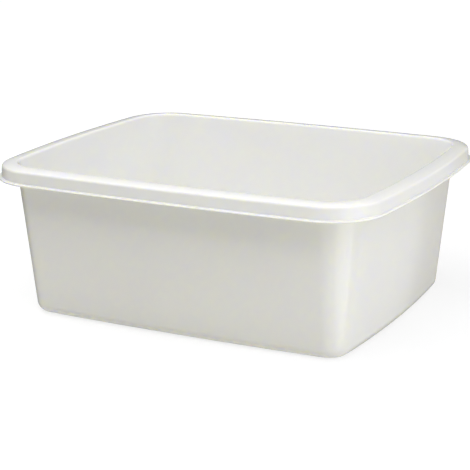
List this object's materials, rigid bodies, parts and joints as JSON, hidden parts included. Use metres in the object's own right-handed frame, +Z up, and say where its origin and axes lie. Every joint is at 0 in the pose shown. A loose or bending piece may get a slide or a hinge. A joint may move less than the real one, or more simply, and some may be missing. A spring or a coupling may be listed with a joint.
{
  "type": "washing up bowl",
  "caption": "Rectangular washing up bowl moulded in one piece, with leaning, slightly bowed walls and a rolled rim whose skirt ends in a small lip.",
  "frame": {"origin": "middle of the bowl's footprint, on the surface it stands on", "axes": "+X along the bowl's length, +Y across it, +Z up out of the basin"},
  "size_m": [0.38, 0.311, 0.1405],
  "materials": {
    "polypropylene": "white moulded polypropylene with a soft, waxy sheen, slightly see-through where it is thin"
  },
  "bodies": {
    "root": {"bowl": "polypropylene"}
  },
  "joints": []
}
